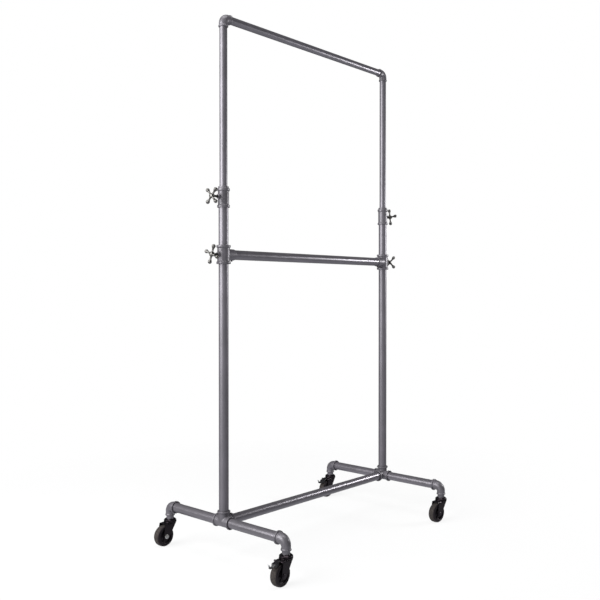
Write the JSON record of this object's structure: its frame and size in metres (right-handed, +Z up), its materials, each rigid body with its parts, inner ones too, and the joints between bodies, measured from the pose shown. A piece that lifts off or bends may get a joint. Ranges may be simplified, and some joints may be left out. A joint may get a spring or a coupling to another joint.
{
  "type": "rolling garment rail",
  "caption": "Rolling garment rail of grey pipe and cast fittings, with telescoping uprights, an upper rail, a sliding lower rail, clamp screws and swivel casters.",
  "frame": {"origin": "on the floor, midway between the four caster stems", "axes": "+X along the hanging rails, +Y to the rear along the legs, +Z up"},
  "size_m": [1.0641, 0.6284, 1.864],
  "materials": {
    "pipe_paint": "satin grey paint on steel pipe",
    "fitting_paint": "satin grey paint on cast fittings, slightly rough",
    "handle_metal": "satin die-cast metal",
    "zinc_plate": "bright zinc plate",
    "black_oxide": "black oxide",
    "black_enamel": "glossy black enamel on pressed steel",
    "pedal_steel": "black finish worn to bright steel on the foot tab",
    "wheel_plastic": "moulded black plastic",
    "tyre_rubber": "grey-black rubber, scuffed tread",
    "brass": "turned brass",
    "bearing_steel": "polished bearing steel",
    "guide_plastic": "moulded black plastic"
  },
  "bodies": {
    "base_frame": {"base_stretcher": "pipe_paint", "base_tee_left": "fitting_paint", "base_tee_right": "fitting_paint", "caster_stems": "black_enamel", "clamp_collar_left": "fitting_paint", "clamp_collar_right": "fitting_paint", "foot_elbow_front_left": "fitting_paint", "foot_elbow_front_right": "fitting_paint", "foot_elbow_rear_left": "fitting_paint", "foot_elbow_rear_right": "fitting_paint", "foot_nipples": "pipe_paint", "kingpin_nuts": "black_oxide", "leg_pipe_front_left": "pipe_paint", "leg_pipe_front_right": "pipe_paint", "leg_pipe_rear_left": "pipe_paint", "leg_pipe_rear_right": "pipe_paint", "lower_upright_left": "pipe_paint", "lower_upright_right": "pipe_paint", "stem_inserts": "zinc_plate", "swivel_balls": "bearing_steel"},
    "upper_frame": {"top_elbow_left": "fitting_paint", "top_elbow_right": "fitting_paint", "top_rail": "pipe_paint", "upper_upright_left": "pipe_paint", "upper_upright_right": "pipe_paint", "upright_guides": "guide_plastic"},
    "lower_rail": {"mid_rail": "pipe_paint", "slide_tee_left": "fitting_paint", "slide_tee_right": "fitting_paint", "tee_grub_screws": "black_oxide"},
    "pad_collar_left": {"clamp_pad_collar_left": "brass"},
    "screw_collar_left": {"clamp_stud_collar_left": "zinc_plate", "cross_handle_collar_left": "handle_metal"},
    "pad_collar_right": {"clamp_pad_collar_right": "brass"},
    "screw_collar_right": {"clamp_stud_collar_right": "zinc_plate", "cross_handle_collar_right": "handle_metal"},
    "pad_slide_left": {"clamp_pad_slide_left": "brass"},
    "screw_slide_left": {"clamp_stud_slide_left": "zinc_plate", "cross_handle_slide_left": "handle_metal"},
    "pad_slide_right": {"clamp_pad_slide_right": "brass"},
    "screw_slide_right": {"clamp_stud_slide_right": "zinc_plate", "cross_handle_slide_right": "handle_metal"},
    "swivel_front_left": {"fork_front_left": "black_enamel", "axle_set_front_left": "black_oxide"},
    "wheel_front_left": {"wheel_core_front_left": "wheel_plastic", "tyre_front_left": "tyre_rubber"},
    "pedal_front_left": {"brake_pedal_front_left": "pedal_steel"},
    "swivel_front_right": {"fork_front_right": "black_enamel", "axle_set_front_right": "black_oxide"},
    "wheel_front_right": {"wheel_core_front_right": "wheel_plastic", "tyre_front_right": "tyre_rubber"},
    "swivel_rear_left": {"fork_rear_left": "black_enamel", "axle_set_rear_left": "zinc_plate"},
    "wheel_rear_left": {"wheel_core_rear_left": "wheel_plastic", "tyre_rear_left": "tyre_rubber"},
    "swivel_rear_right": {"fork_rear_right": "black_enamel", "axle_set_rear_right": "black_oxide"},
    "wheel_rear_right": {"wheel_core_rear_right": "wheel_plastic", "tyre_rear_right": "tyre_rubber"},
    "pedal_rear_right": {"brake_pedal_rear_right": "pedal_steel"}
  },
  "joints": [
    {"name": "upper_frame_height", "type": "slide", "parent": "base_frame", "child": "upper_frame", "axis": [0, 0, 1], "range_m": [-0.52, 0.16]},
    {"name": "lower_rail_height", "type": "slide", "parent": "base_frame", "child": "lower_rail", "axis": [0, 0, 1], "range_m": [-0.83, 0.11]},
    {"name": "clamp_feed_collar_left", "type": "slide", "parent": "base_frame", "child": "pad_collar_left", "axis": [-1, 0, 0], "range_m": [0, 0.00313]},
    {"name": "clamp_turn_collar_left", "type": "hinge", "parent": "pad_collar_left", "child": "screw_collar_left", "pos_m": [-0.497, 0, 1.243], "axis": [-1, 0, 0], "range_deg": [0, 900]},
    {"name": "clamp_feed_collar_right", "type": "slide", "parent": "base_frame", "child": "pad_collar_right", "axis": [1, 0, 0], "range_m": [0, 0.00313]},
    {"name": "clamp_turn_collar_right", "type": "hinge", "parent": "pad_collar_right", "child": "screw_collar_right", "pos_m": [0.497, 0, 1.243], "axis": [1, 0, 0], "range_deg": [0, 900]},
    {"name": "clamp_feed_slide_left", "type": "slide", "parent": "lower_rail", "child": "pad_slide_left", "axis": [-1, 0, 0], "range_m": [0, 0.00313]},
    {"name": "clamp_turn_slide_left", "type": "hinge", "parent": "pad_slide_left", "child": "screw_slide_left", "pos_m": [-0.497, 0, 1.048], "axis": [-1, 0, 0], "range_deg": [0, 900]},
    {"name": "clamp_feed_slide_right", "type": "slide", "parent": "lower_rail", "child": "pad_slide_right", "axis": [1, 0, 0], "range_m": [0, 0.00313]},
    {"name": "clamp_turn_slide_right", "type": "hinge", "parent": "pad_slide_right", "child": "screw_slide_right", "pos_m": [0.497, 0, 1.048], "axis": [1, 0, 0], "range_deg": [0, 900]},
    {"name": "caster_swivel_front_left", "type": "hinge", "parent": "base_frame", "child": "swivel_front_left", "pos_m": [-0.457, -0.29, 0.086], "axis": [0, 0, 1], "continuous": true},
    {"name": "wheel_spin_front_left", "type": "hinge", "parent": "swivel_front_left", "child": "wheel_front_left", "pos_m": [-0.48689, -0.29261, 0.0375], "axis": [-0.0872, 0.9962, 0], "continuous": true},
    {"name": "brake_lift_front_left", "type": "hinge", "parent": "swivel_front_left", "child": "pedal_front_left", "pos_m": [-0.49505, -0.29333, 0.0811], "axis": [-0.0872, 0.9962, 0], "range_deg": [0, 18]},
    {"name": "caster_swivel_front_right", "type": "hinge", "parent": "base_frame", "child": "swivel_front_right", "pos_m": [0.457, -0.29, 0.086], "axis": [0, 0, 1], "continuous": true},
    {"name": "wheel_spin_front_right", "type": "hinge", "parent": "swivel_front_right", "child": "wheel_front_right", "pos_m": [0.42707, -0.28791, 0.0375], "axis": [0.0698, 0.9976, 0], "continuous": true},
    {"name": "caster_swivel_rear_left", "type": "hinge", "parent": "base_frame", "child": "swivel_rear_left", "pos_m": [-0.457, 0.29, 0.086], "axis": [0, 0, 1], "continuous": true},
    {"name": "wheel_spin_rear_left", "type": "hinge", "parent": "swivel_rear_left", "child": "wheel_rear_left", "pos_m": [-0.48699, 0.28921, 0.0375], "axis": [-0.0262, 0.9997, 0], "continuous": true},
    {"name": "caster_swivel_rear_right", "type": "hinge", "parent": "base_frame", "child": "swivel_rear_right", "pos_m": [0.457, 0.29, 0.086], "axis": [0, 0, 1], "continuous": true},
    {"name": "wheel_spin_rear_right", "type": "hinge", "parent": "swivel_rear_right", "child": "wheel_rear_right", "pos_m": [0.42702, 0.28895, 0.0375], "axis": [-0.0349, 0.9994, 0], "continuous": true},
    {"name": "brake_lift_rear_right", "type": "hinge", "parent": "swivel_rear_right", "child": "pedal_rear_right", "pos_m": [0.41882, 0.28867, 0.0811], "axis": [-0.0349, 0.9994, 0], "range_deg": [0, 18]}
  ],
  "couplings": [
    {"joint": "clamp_turn_collar_left", "follows": "clamp_feed_collar_left", "rad_per_m": 5026.5},
    {"joint": "clamp_turn_collar_right", "follows": "clamp_feed_collar_right", "rad_per_m": 5026.5},
    {"joint": "clamp_turn_slide_left", "follows": "clamp_feed_slide_left", "rad_per_m": 5026.5},
    {"joint": "clamp_turn_slide_right", "follows": "clamp_feed_slide_right", "rad_per_m": 5026.5}
  ]
}
